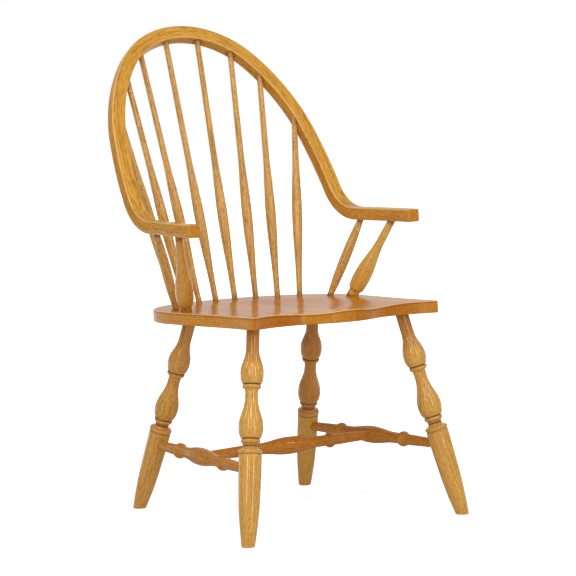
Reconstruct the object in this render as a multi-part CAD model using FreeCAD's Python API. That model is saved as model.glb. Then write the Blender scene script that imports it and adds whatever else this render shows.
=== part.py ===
import FreeCAD, Part

import math
import os

from FreeCAD import Rotation, Vector

# Windsor armchair: a board seat on four turned legs, eight long spindles and a continuous bent arm
# Millimetres and degrees. X runs to the sitter's left, Y to the back and Z up from the floor.
# The origin is on the floor, on the mirror plane, midway between the foremost and the rearmost point.

# Seat
seat_height = 451.5
seat_slope = 1.6
seat_thickness = 25.5
seat_front_middle = 328.0
seat_front_hollow = 293.0
seat_front_hollow_x = 133.0
seat_front_corner = 318.0
seat_front_corner_x = 228.5
seat_waist = 130.0
seat_waist_x = 222.5
seat_widest = 6.0
seat_widest_x = 241.0
seat_back = 209.0
seat_corner_radius = 9.0
seat_edge_radius = 2.2
seat_joint_shares = (-0.655, -0.42, -0.14, 0.045, 0.38, 0.665)
seat_front_pull_share = 0.48
seat_back_pull_share = 0.60

# Hollow of the seat. Each station gives, as shares: how far it lies from the middle of the hollow toward
# its front or back end, its half width, its depth, and how much of that the ridge in the middle takes back
hollow_middle = -40.0
hollow_depth = 8.5
hollow_half_width = 186.0
hollow_front_reach = 300.0
hollow_back_reach = 142.0
hollow_rim_lift = 0.7
hollow_half_steps = 8
hollow_round_power = 1.5
hollow_ridge_width_share = 0.40
hollow_station_shares = (
    (-1.00, 1.00, 1.25, 0.97),
    (-0.78, 0.95, 0.78, 0.62),
    (-0.46, 0.97, 0.95, 0.34),
    (-0.12, 0.97, 1.00, 0.14),
    (0.36, 0.88, 0.78, 0.04),
    (0.76, 0.72, 0.34, 0.00),
    (1.00, 0.58, 0.00, 0.00),
)

# Legs, measured along their axes from the foot
front_foot_x = 264.5
front_foot_y = -329.6
back_foot_x = 214.5
back_foot_y = 196.7
front_leg_seat_x = 182.9
front_leg_seat_y = -242.9
back_leg_seat_x = 155.7
back_leg_seat_y = 51.5
leg_foot_radius = 13.4
leg_shin_radius = 21.5
leg_shin_height = 100.0
leg_knee_radius = 23.2
leg_knee_height = 182.0
leg_groove_depth = 1.2
leg_collar_radius = 24.2
leg_collar_height = 189.0
leg_collar_half = 4.6
leg_cove_radius = 14.4
leg_cove_height = 200.5
leg_ring_half = 4.6
leg_low_ring_radius = 19.8
leg_low_ring_height = 210.5
leg_low_bulb_foot_radius = 17.0
leg_low_bulb_radius = 25.2
leg_low_bulb_height = 238.5
leg_neck_radius = 13.3
leg_neck_height = 300.0
leg_high_ring_radius = 19.4
leg_high_ring_height = 320.0
leg_high_bulb_foot_radius = 16.4
leg_high_bulb_radius = 24.0
leg_high_bulb_height = 347.5
leg_top_radius = 13.6
leg_top_neck_height = 397.0
leg_tenon_depth = 16.0

# Stretchers, measured along their axes from the middle
stretcher_height_on_leg = 152.7
stretcher_swell_radius = 18.6
stretcher_waist_radius = 11.9
stretcher_waist = 76.0
stretcher_bead_radius = 16.6
stretcher_bead = 104.0
stretcher_bead_half = 8.0
stretcher_arm_radius = 12.2
stretcher_end_radius = 10.0
stretcher_end_straight = 13.0
stretcher_tenon_depth = 13.0

# Bow: the back arch leans, bends forward over one radius and runs on as the two arms
bow_width = 31.1
bow_thickness = 27.0
bow_corner_radius = 3.2
bow_lean = 31.78
crown_radius = 199.3
crown_half_angle = 52.51
shoulder_radius = 418.1
shoulder_end_angle = 80.51
side_radius = 1120.0
arch_end_angle = 88.0
bend_radius = 113.4
arm_height = 619.7
arm_front = -190.0
arm_length = 203.7
arm_flare_angle = 9.26
arm_flare_length = 72.7
hand_radius = 434.0
hand_corner_radius = 7.0

# Long spindles
spindle_row_radius = 249.0
spindle_row_back = 164.0
spindle_seat_pitch = 11.25
spindle_bow_angles = (12.73, 38.58, 58.27, 76.51)
spindle_foot_radius = 6.3
spindle_foot_straight = 14.0
spindle_belly_radius = 11.3
spindle_belly = 192.0
spindle_neck_radius = 6.8
spindle_neck = 335.0
spindle_top_radius = 6.0
spindle_top_straight = 18.0
spindle_seat_depth = 14.0
spindle_bow_depth = 18.0

# Short spindle and turned post under each arm
arm_spindle_seat_x = 194.5
arm_spindle_seat_y = 41.5
arm_spindle_back = 195.5
arm_spindle_inset = 5.9
arm_spindle_end_radius = 6.2
arm_spindle_belly_radius = 10.8
post_seat_x = 208.5
post_seat_y = -22.7
post_back = 93.7
post_stub_radius = 12.4
post_stub_length = 17.5
post_shoulder_radius = 14.6
post_belly_radius = 18.8
post_belly = 48.0
post_neck_radius = 8.9
post_neck = 146.0
post_top_radius = 8.1
post_top_straight = 14.0
arm_socket_depth = 14.0

# Pull of the ends of a turned curve along the axis, as shares of its rise
ogee_leave_share = 0.40
ogee_arrive_share = 0.44
swell_round_share = 0.55

# Fits and cuts
socket_clearance = 0.1
socket_depth_clearance = 0.4
overrun = 60.0

# An edge counts as parallel to a direction when its cosine with it is larger than this
parallel_share = 0.99

# How often the stretch in which a place on an arm lies is halved to find it
halvings = 40

UP = Vector(0, 0, 1)
LEFT = Vector(1, 0, 0)
ORIGIN = Vector(0, 0, 0)
SIDES = (("right", -1), ("left", 1))


def seat_top(y):
    return seat_height - (y + seat_front_corner) * math.tan(math.radians(seat_slope))


def on_seat(x, y, below=0):
    return Vector(x, y, seat_top(y) - below)


def mirrored(shape):
    return shape.mirror(ORIGIN, LEFT)


# Turned pieces: each outline is a chain of edges in the plane of radius (X) and height (Z)
def line(start, end):
    return Part.makeLine(Vector(start[0], 0, start[1]), Vector(end[0], 0, end[1]))


def arc(start, middle, end):
    points = [Vector(radius, 0, height) for radius, height in (start, middle, end)]
    return Part.Arc(*points).toShape()


def bezier(points):
    curve = Part.BezierCurve()
    curve.setPoles([Vector(radius, 0, height) for radius, height in points])
    return curve.toShape()


def ogee(start, end):
    """An S between two radii that leaves and arrives along the axis."""
    rise = end[1] - start[1]
    leave = (start[0], start[1] + rise * ogee_leave_share)
    arrive = (end[0], end[1] - rise * ogee_arrive_share)
    return bezier([start, leave, arrive, end])


def swell(start, end):
    """A quarter oval that leaves square to the axis and arrives along it."""
    leave = (start[0] + (end[0] - start[0]) * swell_round_share, start[1])
    arrive = (end[0], end[1] - (end[1] - start[1]) * swell_round_share)
    return bezier([start, leave, arrive, end])


def turned(edges, bottom, top):
    """Revolve an outline that starts at the radius of its bottom and ends at that of its top."""
    first = edges[0].Vertexes[0].Point
    last = edges[-1].Vertexes[-1].Point
    chain = [line((0, bottom), (first.x, bottom))] + edges + [line((last.x, top), (0, top))]
    face = Part.Face(Part.Wire(chain + [line((0, top), (0, bottom))]))
    return face.revolve(ORIGIN, UP, 360)


def stood(shape, foot, toward):
    """Move a piece that was turned about Z so that it stands on foot and points toward another point."""
    placed = shape.copy()
    lean = Rotation(UP, toward - foot)
    placed.rotate(ORIGIN, lean.Axis, math.degrees(lean.Angle))
    placed.translate(foot)
    return placed


def socket(radius, mouth, bottom):
    """The cutter of a round blind hole, from its bottom out past its mouth."""
    direction = (mouth - bottom).normalize()
    start = bottom - direction * socket_depth_clearance
    reach = (mouth - start).Length + overrun
    return Part.makeCylinder(radius + socket_clearance, reach, start, direction)


# Legs
def leg_line(which, side):
    """The foot on the floor and the point where the leg enters the underside of the seat."""
    if which == "front":
        foot = Vector(side * front_foot_x, front_foot_y, 0)
        return foot, on_seat(side * front_leg_seat_x, front_leg_seat_y, seat_thickness)
    foot = Vector(side * back_foot_x, back_foot_y, 0)
    return foot, on_seat(side * back_leg_seat_x, back_leg_seat_y, seat_thickness)


def leg_outline(top):
    """From the foot up: shin, collar, cove, low ring, low bulb, neck, high ring, high bulb and tenon."""
    collar_foot = leg_collar_height - leg_collar_half
    collar_top = leg_collar_height + leg_collar_half
    collar_root = leg_knee_radius - leg_groove_depth
    collar_side = (leg_cove_radius + leg_collar_radius) / 2
    cove_side = (leg_cove_radius + leg_low_ring_radius) / 2
    low_ring_foot = leg_low_ring_height - leg_ring_half
    low_ring_top = leg_low_ring_height + leg_ring_half
    neck_side = leg_neck_radius + leg_groove_depth
    high_ring_foot = leg_high_ring_height - leg_ring_half
    high_ring_top = leg_high_ring_height + leg_ring_half
    shin = Part.BSplineCurve()
    shin.interpolate(
        [
            Vector(leg_foot_radius, 0, 0),
            Vector(leg_shin_radius, 0, leg_shin_height),
            Vector(leg_knee_radius, 0, leg_knee_height),
        ]
    )
    return [
        shin.toShape(),
        line((leg_knee_radius, leg_knee_height), (collar_root, collar_foot)),
        arc((collar_root, collar_foot), (leg_collar_radius, leg_collar_height), (collar_side, collar_top)),
        arc((collar_side, collar_top), (leg_cove_radius, leg_cove_height), (cove_side, low_ring_foot)),
        arc((cove_side, low_ring_foot), (leg_low_ring_radius, leg_low_ring_height),
            (leg_low_bulb_foot_radius, low_ring_top)),
        swell((leg_low_bulb_foot_radius, low_ring_top), (leg_low_bulb_radius, leg_low_bulb_height)),
        ogee((leg_low_bulb_radius, leg_low_bulb_height), (leg_neck_radius, leg_neck_height)),
        bezier([(leg_neck_radius, leg_neck_height),
                (leg_neck_radius, high_ring_foot - leg_ring_half), (neck_side, high_ring_foot)]),
        arc((neck_side, high_ring_foot), (leg_high_ring_radius, leg_high_ring_height),
            (leg_high_bulb_foot_radius, high_ring_top)),
        swell((leg_high_bulb_foot_radius, high_ring_top), (leg_high_bulb_radius, leg_high_bulb_height)),
        ogee((leg_high_bulb_radius, leg_high_bulb_height), (leg_top_radius, leg_top_neck_height)),
        line((leg_top_radius, leg_top_neck_height), (leg_top_radius, top)),
    ]


def stretcher_socket_on_leg(which, side):
    foot, entry = leg_line(which, side)
    return foot + (entry - foot).normalize() * stretcher_height_on_leg


def make_leg(which, side):
    """A leg turned whole, cut level on the floor and bored for its side stretcher."""
    foot, entry = leg_line(which, side)
    top = (entry - foot).Length + leg_tenon_depth
    below = line((leg_foot_radius, -leg_foot_radius), (leg_foot_radius, 0))
    leg = stood(turned([below] + leg_outline(top), -leg_foot_radius, top), foot, entry)
    floor = Part.makeCylinder(overrun, overrun, foot - UP * overrun, UP)
    return leg.cut(floor).cut(side_stretcher_socket(which, side))


def leg_socket(which, side):
    foot, entry = leg_line(which, side)
    direction = (entry - foot).normalize()
    return socket(leg_top_radius, entry, entry + direction * leg_tenon_depth)


# Stretchers
def stretcher_outline(length):
    """Half of a stretcher, from its end to its middle, with the swell in the middle."""
    half = length / 2
    bead_out = half - stretcher_bead - stretcher_bead_half
    bead_in = half - stretcher_bead + stretcher_bead_half
    waist = half - stretcher_waist
    end = stretcher_tenon_depth + stretcher_end_straight
    return [
        line((stretcher_end_radius, 0), (stretcher_end_radius, end)),
        line((stretcher_end_radius, end), (stretcher_arm_radius, bead_out)),
        arc((stretcher_arm_radius, bead_out), (stretcher_bead_radius, half - stretcher_bead),
            (stretcher_arm_radius, bead_in)),
        bezier([(stretcher_arm_radius, bead_in), (stretcher_waist_radius, bead_in + stretcher_bead_half / 2),
                (stretcher_waist_radius, waist)]),
        ogee((stretcher_waist_radius, waist), (stretcher_swell_radius, half)),
    ]


def make_stretcher(start, end):
    length = (end - start).Length
    half = turned(stretcher_outline(length), 0, length / 2)
    other = half.mirror(UP * (length / 2), UP)
    return stood(half.fuse(other).removeSplitter(), start, end)


def side_stretcher_ends(side):
    """The two ends of a side stretcher, each a tenon's depth inside the face of its leg."""
    front = stretcher_socket_on_leg("front", side)
    back = stretcher_socket_on_leg("back", side)
    along = (back - front).normalize()
    inset = leg_knee_radius - stretcher_tenon_depth
    return front + along * inset, back - along * inset


def side_stretcher_socket(which, side):
    front, back = side_stretcher_ends(side)
    if which == "front":
        return socket(stretcher_end_radius, front + (back - front).normalize(), front)
    return socket(stretcher_end_radius, back + (front - back).normalize(), back)


def centre_stretcher_ends():
    front, back = side_stretcher_ends(1)
    middle = (front + back) / 2
    inset = stretcher_swell_radius - stretcher_tenon_depth
    end = Vector(middle.x - inset, middle.y, middle.z)
    return Vector(-end.x, end.y, end.z), end


def centre_stretcher_socket(side):
    right, left = centre_stretcher_ends()
    if side < 0:
        return socket(stretcher_end_radius, right + LEFT, right)
    return socket(stretcher_end_radius, left - LEFT, left)


def make_side_stretcher(side):
    return make_stretcher(*side_stretcher_ends(side)).cut(centre_stretcher_socket(side))


# Bow: places on its middle line
def bend_angle():
    return math.radians(90 - bow_lean)


def up_the_back():
    return Vector(0, math.cos(bend_angle()), math.sin(bend_angle()))


def behind_the_back():
    return Vector(0, math.sin(bend_angle()), -math.cos(bend_angle()))


def arch_reach(angle):
    """How far the arch's middle line stands from the mirror plane and below the crown at an angle."""
    x = 0
    drop = 0
    start = 0
    for radius, limit in (
        (crown_radius, crown_half_angle),
        (shoulder_radius, shoulder_end_angle),
        (side_radius, arch_end_angle),
    ):
        end = min(angle, math.radians(limit))
        if end > start:
            x += radius * (math.sin(end) - math.sin(start))
            drop += radius * (math.cos(start) - math.cos(end))
            start = end
    return x, drop


def crown_place():
    drop = arch_reach(math.radians(arch_end_angle))[1]
    bend_y = arm_front + arm_length + bend_radius * math.sin(bend_angle())
    bend_z = arm_height + bend_radius * (1 - math.cos(bend_angle()))
    return Vector(0, bend_y, bend_z) + up_the_back() * drop


def arch_inside(side, degrees):
    """The middle of the arch's inner face at an angle from the crown."""
    angle = math.radians(degrees)
    x, drop = arch_reach(angle)
    outward = LEFT * (side * math.sin(angle)) + up_the_back() * math.cos(angle)
    middle = crown_place() + LEFT * (side * x) - up_the_back() * drop
    return middle - outward * (bow_width / 2)


def arm_start_angle():
    """The angle, outward of straight ahead, at which an arm leaves the bend."""
    spread = math.cos(math.radians(arch_end_angle))
    return math.degrees(math.asin(spread * math.cos(bend_angle())))


def hand_end_angle():
    """The angle, inward of straight ahead, at which the hand's arc reaches the front of the arm."""
    reach = arm_length - arm_flare_length - hand_radius * math.sin(math.radians(arm_flare_angle))
    return math.degrees(math.asin(reach / hand_radius))


def bow_arcs():
    """The arcs of the right half: the side that each one's radius points to, the radius and the angle."""
    start = arm_start_angle()
    flare_share = math.sin(math.radians(arm_flare_angle)) - math.sin(math.radians(start))
    return (
        ("outward", crown_radius, crown_half_angle),
        ("outward", shoulder_radius, shoulder_end_angle - crown_half_angle),
        ("outward", side_radius, arch_end_angle - shoulder_end_angle),
        ("behind", bend_radius, 90 - bow_lean),
        ("inward", arm_flare_length / flare_share, arm_flare_angle - start),
        ("hand", hand_radius, arm_flare_angle + hand_end_angle()),
    )


def bow_chain():
    """Each arc of the right half, from crown to hand, with the place and directions it starts from."""
    place = crown_place()
    outward = up_the_back()
    behind = behind_the_back()
    chain = []
    for facing, radius, angle in bow_arcs():
        onward = outward.cross(behind)
        away = {"outward": outward, "behind": behind, "inward": outward * -1, "hand": outward}[facing]
        centre = place - away * radius
        axis = away.cross(onward)
        chain.append((facing, place, outward, behind, centre, axis, angle))
        turn = Rotation(axis, angle)
        place = centre + turn.multVec(place - centre)
        outward = turn.multVec(outward)
        behind = turn.multVec(behind)
    return chain


def under_arm(side, back_from_tip, inset=0):
    """A point on an arm's underside, by its distances back from the tip and in from the middle line."""
    goal = arm_front + back_from_tip
    for facing, place, outward, behind, centre, axis, angle in bow_chain():
        if facing not in ("inward", "hand"):
            continue
        low = 0
        high = angle
        for _ in range(halvings):
            turn = Rotation(axis, (low + high) / 2)
            middle = centre + turn.multVec(place - centre)
            if middle.y > goal:
                low = (low + high) / 2
            else:
                high = (low + high) / 2
        if high < angle:
            break
    point = middle + behind * (bow_thickness / 2) - turn.multVec(outward) * inset
    return Vector(side * abs(point.x), point.y, point.z)


# Bow: its solid
def plain_section(place, outward, behind):
    """A rectangle square to the bow's middle line."""
    across = outward * (bow_width / 2)
    deep = behind * (bow_thickness / 2)
    corners = [place + across + deep, place - across + deep, place - across - deep, place + across - deep]
    return Part.Face(Part.makePolygon(corners + corners[:1]))


def soft_section(place, outward, behind):
    """The same rectangle with its four corners rounded."""
    sides = (
        (outward, bow_width / 2),
        (behind, bow_thickness / 2),
        (outward * -1, bow_width / 2),
        (behind * -1, bow_thickness / 2),
    )
    corners = []
    for (first, first_half), (second, second_half) in zip(sides, sides[1:] + sides[:1]):
        inset = first * (first_half - bow_corner_radius) + second * (second_half - bow_corner_radius)
        centre = place + inset
        start = centre + first * bow_corner_radius
        middle = centre + (first + second).normalize() * bow_corner_radius
        end = centre + second * bow_corner_radius
        corners.append((start, middle, end))
    edges = []
    for (start, middle, end), following in zip(corners, corners[1:] + corners[:1]):
        edges += [Part.Arc(start, middle, end).toShape(), Part.makeLine(end, following[0])]
    return Part.Face(Part.Wire(edges))


def is_along(edge, direction):
    first, last = [vertex.Point for vertex in edge.Vertexes]
    return abs((last - first).normalize().dot(direction)) > parallel_share


def make_half_bow():
    """The right half, from the crown to the hand, as a chain of arcs that one section is swung through."""
    pieces = []
    for facing, place, outward, behind, centre, axis, angle in bow_chain():
        if facing == "hand":
            blunt = plain_section(place, outward, behind).revolve(centre, axis, angle)
            pieces.append(rounded_hand(blunt, place))
        else:
            pieces.append(soft_section(place, outward, behind).revolve(centre, axis, angle))
    return pieces


def rounded_hand(hand, start):
    """Round the blunt end's two upright corners, then every edge that runs along the hand or its end."""
    upright = [edge for edge in hand.Edges
               if is_along(edge, UP) and (edge.CenterOfMass - start).y < -bow_width]
    hand = hand.makeFillet(hand_corner_radius, upright)
    level = [edge for edge in hand.Edges
             if edge.BoundBox.ZLength < bow_corner_radius and edge.BoundBox.YMin < start.y - bow_thickness]
    return hand.makeFillet(bow_corner_radius, level)


def spindle_places(side, number):
    """Where a long spindle enters the seat and the bow, counted from the middle."""
    angle = math.radians(number * spindle_seat_pitch + spindle_seat_pitch / 2)
    x = spindle_row_radius * math.sin(angle)
    y = spindle_row_back - spindle_row_radius * (1 - math.cos(angle))
    return on_seat(side * x, y), arch_inside(side, spindle_bow_angles[number])


def make_bow():
    half = make_half_bow()
    pieces = half + [mirrored(piece) for piece in half]
    bow = pieces[0].multiFuse(pieces[1:]).removeSplitter()
    for _, side in SIDES:
        for number in range(len(spindle_bow_angles)):
            foot, head = spindle_places(side, number)
            bottom = head + (head - foot).normalize() * spindle_bow_depth
            bow = bow.cut(socket(spindle_top_radius, head, bottom))
        for foot, head, radius in (
            (arm_spindle_place(side), arm_spindle_head(side), arm_spindle_end_radius),
            (post_place(side), post_head(side), post_top_radius),
        ):
            along = (head - foot).normalize()
            bow = bow.cut(socket(radius, head, head + along * (arm_socket_depth / along.z)))
    return bow


# Long spindles
def spindle_outline(length):
    foot = (spindle_foot_radius, spindle_seat_depth + spindle_foot_straight)
    belly = (spindle_belly_radius, spindle_seat_depth + spindle_belly)
    neck = (spindle_neck_radius, spindle_seat_depth + spindle_neck)
    top = (spindle_top_radius, length - spindle_bow_depth - spindle_top_straight)
    return [
        line((spindle_foot_radius, 0), foot),
        ogee(foot, belly),
        ogee(belly, neck),
        line(neck, top),
        line(top, (spindle_top_radius, length)),
    ]


def make_spindle(side, number):
    foot, head = spindle_places(side, number)
    along = (head - foot).normalize()
    length = (head - foot).Length + spindle_seat_depth + spindle_bow_depth
    return stood(turned(spindle_outline(length), 0, length), foot - along * spindle_seat_depth, head)


def spindle_socket(side, number):
    foot, head = spindle_places(side, number)
    along = (head - foot).normalize()
    return socket(spindle_foot_radius, foot, foot - along * spindle_seat_depth)


# Short spindle and post under each arm
def arm_spindle_place(side):
    return on_seat(side * arm_spindle_seat_x, arm_spindle_seat_y)


def arm_spindle_head(side):
    return under_arm(side, arm_spindle_back, arm_spindle_inset)


def post_place(side):
    return on_seat(side * post_seat_x, post_seat_y)


def post_head(side):
    return under_arm(side, post_back)


def under_arm_length(foot, head):
    """The whole length of a piece between the seat and an arm, with both of its tenons."""
    return (head - foot).Length + spindle_seat_depth + arm_socket_depth / (head - foot).normalize().z


def make_arm_spindle(side):
    foot = arm_spindle_place(side)
    head = arm_spindle_head(side)
    length = under_arm_length(foot, head)
    low = (arm_spindle_end_radius, spindle_seat_depth)
    middle = (arm_spindle_belly_radius, spindle_seat_depth + (head - foot).Length / 2)
    high = (arm_spindle_end_radius, spindle_seat_depth + (head - foot).Length)
    outline = [
        line((arm_spindle_end_radius, 0), low),
        arc(low, middle, high),
        line(high, (arm_spindle_end_radius, length)),
    ]
    along = (head - foot).normalize()
    return stood(turned(outline, 0, length), foot - along * spindle_seat_depth, head)


def make_arm_post(side):
    foot = post_place(side)
    head = post_head(side)
    length = under_arm_length(foot, head)
    stub = spindle_seat_depth + post_stub_length
    belly = (post_belly_radius, spindle_seat_depth + post_belly)
    neck = (post_neck_radius, spindle_seat_depth + post_neck)
    top = (post_top_radius, length - arm_socket_depth - post_top_straight)
    outline = [
        line((post_stub_radius, 0), (post_stub_radius, stub)),
        line((post_stub_radius, stub), (post_shoulder_radius, stub)),
        swell((post_shoulder_radius, stub), belly),
        ogee(belly, neck),
        line(neck, top),
        line(top, (post_top_radius, length)),
    ]
    along = (head - foot).normalize()
    return stood(turned(outline, 0, length), foot - along * spindle_seat_depth, head)


def under_arm_sockets(side):
    """The holes in the seat for a short spindle and a post."""
    holes = []
    for foot, head, radius in (
        (arm_spindle_place(side), arm_spindle_head(side), arm_spindle_end_radius),
        (post_place(side), post_head(side), post_stub_radius),
    ):
        along = (head - foot).normalize()
        holes.append(socket(radius, foot, foot - along * spindle_seat_depth))
    return holes


# Seat
def flat_bezier(points):
    curve = Part.BezierCurve()
    curve.setPoles([Vector(x, y, 0) for x, y in points])
    return curve.toShape()


def half_outline(side):
    """From the middle of the front, hollowed beside the corner, past the waist and round to the back."""
    hollow = side * seat_front_hollow_x
    corner = side * seat_front_corner_x
    waist = side * seat_waist_x
    widest = side * seat_widest_x
    bulge = seat_widest + (seat_back - seat_widest) * seat_back_pull_share
    return [
        flat_bezier([(0, -seat_front_middle), (hollow * seat_front_pull_share, -seat_front_middle),
                     (hollow * (1 - seat_front_pull_share), -seat_front_hollow),
                     (hollow, -seat_front_hollow)]),
        flat_bezier([(hollow, -seat_front_hollow), ((hollow + corner) / 2, -seat_front_hollow),
                     (corner, -seat_front_corner)]),
        flat_bezier([(corner, -seat_front_corner), (waist, -seat_waist), (widest, -seat_waist),
                     (widest, seat_widest)]),
        flat_bezier([(widest, seat_widest), (widest, bulge), (widest * seat_back_pull_share, seat_back),
                     (0, seat_back)]),
    ]


def seat_outline():
    return Part.Wire(Part.sortEdges(half_outline(1) + half_outline(-1))[0])


def hollow_station(place_share, width_share, depth_share, ridge_share):
    """One cross-section of the cutter: the dished floor, closed above the seat."""
    reach = hollow_front_reach if place_share < 0 else hollow_back_reach
    y = hollow_middle + place_share * reach
    half_width = hollow_half_width * width_share
    deepest = (hollow_depth + hollow_rim_lift) * depth_share
    points = []
    for step in range(-hollow_half_steps, hollow_half_steps + 1):
        across = step / hollow_half_steps
        dish = (1 - across ** 2) ** hollow_round_power
        ridge = 1 - ridge_share * math.exp(-((across / hollow_ridge_width_share) ** 2))
        points.append(Vector(half_width * across, y, hollow_rim_lift - deepest * dish * ridge))
    floor = Part.BSplineCurve()
    floor.interpolate(points)
    left_top = Vector(half_width, y, overrun)
    right_top = Vector(-half_width, y, overrun)
    return Part.Wire(
        [
            floor.toShape(),
            Part.makeLine(points[-1], left_top),
            Part.makeLine(left_top, right_top),
            Part.makeLine(right_top, points[0]),
        ]
    )


def is_front_corner(edge):
    return edge.BoundBox.ZLength > seat_thickness / 2 and edge.CenterOfMass.y < -seat_waist


def is_rim(edge, sides):
    """True for the edges that run round the slab's outline, above or below."""
    if edge.BoundBox.ZLength > seat_thickness / 2:
        return False
    middle = edge.valueAt((edge.FirstParameter + edge.LastParameter) / 2)
    return any(Part.Vertex(middle).distToShape(face)[0] < socket_clearance for face in sides)


def seat_blank():
    """The whole seat lying flat with its top at zero: outline, hollow and softened edges."""
    slab = Part.Face(seat_outline()).extrude(Vector(0, 0, -seat_thickness))
    slab = slab.makeFillet(seat_corner_radius, [edge for edge in slab.Edges if is_front_corner(edge)])
    sides = [face for face in slab.Faces if face.BoundBox.ZLength > seat_thickness / 2]
    cutter = Part.makeLoft([hollow_station(*row) for row in hollow_station_shares], True, False)
    slab = slab.cut(cutter)
    return slab.makeFillet(seat_edge_radius, [edge for edge in slab.Edges if is_rim(edge, sides)])


def make_seat_boards():
    """The glued-up seat, bored for everything that stands in it and split at its glue lines."""
    blank = seat_blank()
    blank.rotate(Vector(0, -seat_front_corner, 0), LEFT, -seat_slope)
    blank.translate(Vector(0, 0, seat_height))
    holes = []
    for _, side in SIDES:
        holes += [leg_socket(which, side) for which in ("front", "back")]
        holes += [spindle_socket(side, number) for number in range(len(spindle_bow_angles))]
        holes += under_arm_sockets(side)
    bored = blank.cut(holes)
    joints = [share * seat_widest_x for share in seat_joint_shares]
    edges = [-seat_widest_x - overrun] + joints + [seat_widest_x + overrun]
    front = -seat_front_middle - overrun
    back = seat_back + overrun
    boards = []
    for start, end in zip(edges, edges[1:]):
        slot = Part.makeBox(end - start, back - front, seat_height)
        slot.translate(Vector(start, front, seat_height / 2))
        boards.append(bored.common(slot))
    return boards


def build():
    pieces = {"bow": make_bow()}
    for number, board in enumerate(make_seat_boards(), 1):
        pieces[f"seat_board_{number}"] = board
    for name, side in SIDES:
        pieces[f"leg_front_{name}"] = make_leg("front", side)
        pieces[f"leg_back_{name}"] = make_leg("back", side)
        pieces[f"side_stretcher_{name}"] = make_side_stretcher(side)
        pieces[f"arm_spindle_{name}"] = make_arm_spindle(side)
        pieces[f"arm_post_{name}"] = make_arm_post(side)
        for number in range(len(spindle_bow_angles)):
            pieces[f"spindle_{name}_{number + 1}"] = make_spindle(side, number)
    pieces["centre_stretcher"] = make_stretcher(*centre_stretcher_ends())
    return pieces


os.makedirs("parts", exist_ok=True)
for node, piece in build().items():
    piece.Solids[0].exportStep(f"parts/{node}.step")
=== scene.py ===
import random
from cmath import phase, rect
from math import asin, cos, degrees, dist, exp, hypot, pi, radians, sin, sqrt, tan

import bmesh
import bpy
from mathutils import Matrix, Vector
from mathutils.kdtree import KDTree


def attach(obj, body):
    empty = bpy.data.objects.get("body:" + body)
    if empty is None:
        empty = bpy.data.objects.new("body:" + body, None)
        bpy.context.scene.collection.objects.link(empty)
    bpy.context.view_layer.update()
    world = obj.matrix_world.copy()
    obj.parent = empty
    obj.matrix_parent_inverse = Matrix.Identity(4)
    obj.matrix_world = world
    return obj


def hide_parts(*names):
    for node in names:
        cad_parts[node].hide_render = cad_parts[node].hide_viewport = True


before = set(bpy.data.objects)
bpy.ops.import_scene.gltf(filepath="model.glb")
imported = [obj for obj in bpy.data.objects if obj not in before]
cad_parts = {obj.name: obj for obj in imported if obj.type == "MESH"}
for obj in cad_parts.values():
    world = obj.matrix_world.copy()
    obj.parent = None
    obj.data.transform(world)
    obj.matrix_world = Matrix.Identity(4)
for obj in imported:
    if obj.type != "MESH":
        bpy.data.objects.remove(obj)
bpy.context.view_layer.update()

# Windsor armchair of lacquered oak: a seat of seven glued boards on four turned legs with three
# stretchers, eight long spindles, and a bent bow that makes the back and runs on as both arms.
# X runs to the sitter's left, Y to the back and Z up from the floor.
# Lengths are in millimetres and angles in degrees until a mesh is written.
MM = 0.001

# Seat
SEAT_HEIGHT = 451.5
SEAT_SLOPE = 1.6
SEAT_THICKNESS = 25.5
SEAT_FRONT_MIDDLE = -328.0
SEAT_FRONT_HOLLOW = (133.0, -293.0)
SEAT_FRONT_CORNER = (228.5, -318.0)
SEAT_WAIST = (222.5, -130.0)
SEAT_WIDEST = (241.0, 6.0)
SEAT_BACK = 209.0
SEAT_FRONT_PULL = 0.48
SEAT_BACK_PULL = 0.60
SEAT_CORNER_RADIUS = 9.0
SEAT_EDGE_RADIUS = 3.0
SEAT_POINT_GAP = 0.6
SEAT_JOINTS = (-0.655, -0.42, -0.14, 0.045, 0.38, 0.665)
GLUE_LINE = 1.0

# Rings of points on the side of the seat, by their drop below its top
SEAT_RIM_BAND = 6.0
SEAT_RIM_RINGS = (SEAT_RIM_BAND, 5.2, 4.6, 4.0, 3.5)

# Grid of points on the seat's top, with the least room beside a joint
SEAT_GRID = 6.0
SEAT_GRID_MARGIN = 3.0
SEAT_GRID_START = 4.0

# Hollow of the seat. Each station gives shares: its place from the middle toward the front or back end,
# the half width, the depth, and how much of that the ridge in the middle takes back
HOLLOW_MIDDLE = -40.0
HOLLOW_DEPTH = 8.5
HOLLOW_HALF_WIDTH = 186.0
HOLLOW_FRONT_REACH = 300.0
HOLLOW_BACK_REACH = 142.0
HOLLOW_LIFT = 0.7
HOLLOW_SOFTNESS = 0.5
HOLLOW_ROUND_POWER = 1.5
HOLLOW_RIDGE_WIDTH = 0.40
HOLLOW_SLOPE_STEP = 0.5
HOLLOW_STATIONS = (
    (-1.00, 1.00, 1.25, 0.97),
    (-0.78, 0.95, 0.78, 0.62),
    (-0.46, 0.97, 0.95, 0.34),
    (-0.12, 0.97, 1.00, 0.14),
    (0.36, 0.88, 0.78, 0.04),
    (0.76, 0.72, 0.34, 0.00),
    (1.00, 0.58, 0.00, 0.00),
)

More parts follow.
